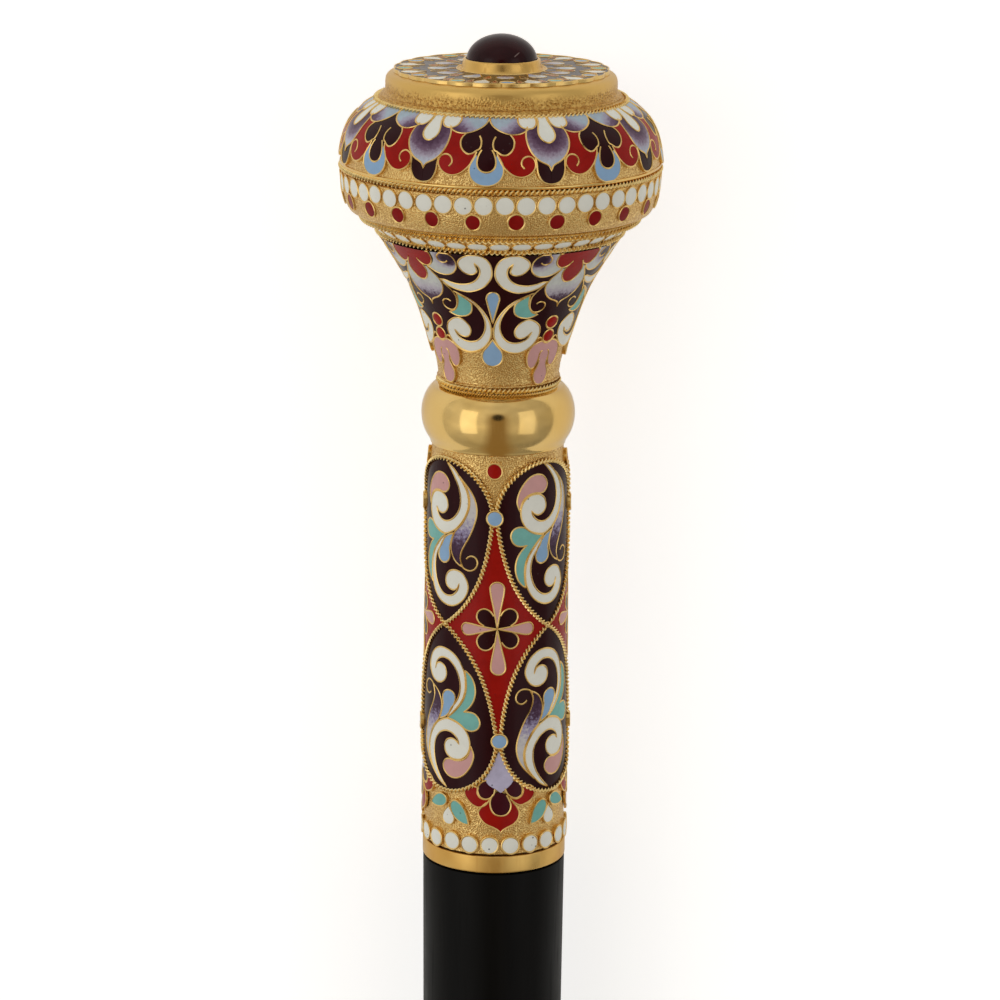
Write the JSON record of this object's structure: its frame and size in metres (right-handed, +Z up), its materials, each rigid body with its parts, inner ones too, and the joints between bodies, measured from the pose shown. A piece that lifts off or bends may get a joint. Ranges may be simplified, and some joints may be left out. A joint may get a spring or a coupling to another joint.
{
  "type": "sceptre-style cane",
  "caption": "Dress cane with a gilt cloisonné knob, flared neck and sleeve grip in a sceptre's form, on a black tapering shaft with a metal ferrule, lying at rest.",
  "frame": {"origin": "on the floor under the middle of the lying cane", "axes": "+X along the cane towards the knob, +Z up, out of the side that faces up as it lies"},
  "size_m": [0.9208, 0.0498, 0.0492],
  "materials": {
    "gilt": "polished and stippled gold plate",
    "enamel": "glossy cloisonné enamel between gilt wires on stippled gilt",
    "garnet": "polished dark red cabochon",
    "black_lacquer": "black satin lacquer",
    "brass": "satin with light scuffs"
  },
  "bodies": {
    "root": {"ferrule": "brass", "shaft": "black_lacquer", "end_collar": "gilt", "grip_sleeve": "enamel", "polished_bead": "gilt", "neck_rope_lower": "gilt", "neck_rope_upper": "gilt", "bell": "enamel", "bell_rope": "gilt", "belt": "enamel", "belt_rope_lower": "gilt", "belt_rope_upper": "gilt", "equator_rope_lower": "gilt", "equator_rope_upper": "gilt", "dome": "enamel", "cap_rope": "gilt", "cap": "enamel", "bezel": "gilt", "cabochon": "garnet"}
  },
  "joints": []
}
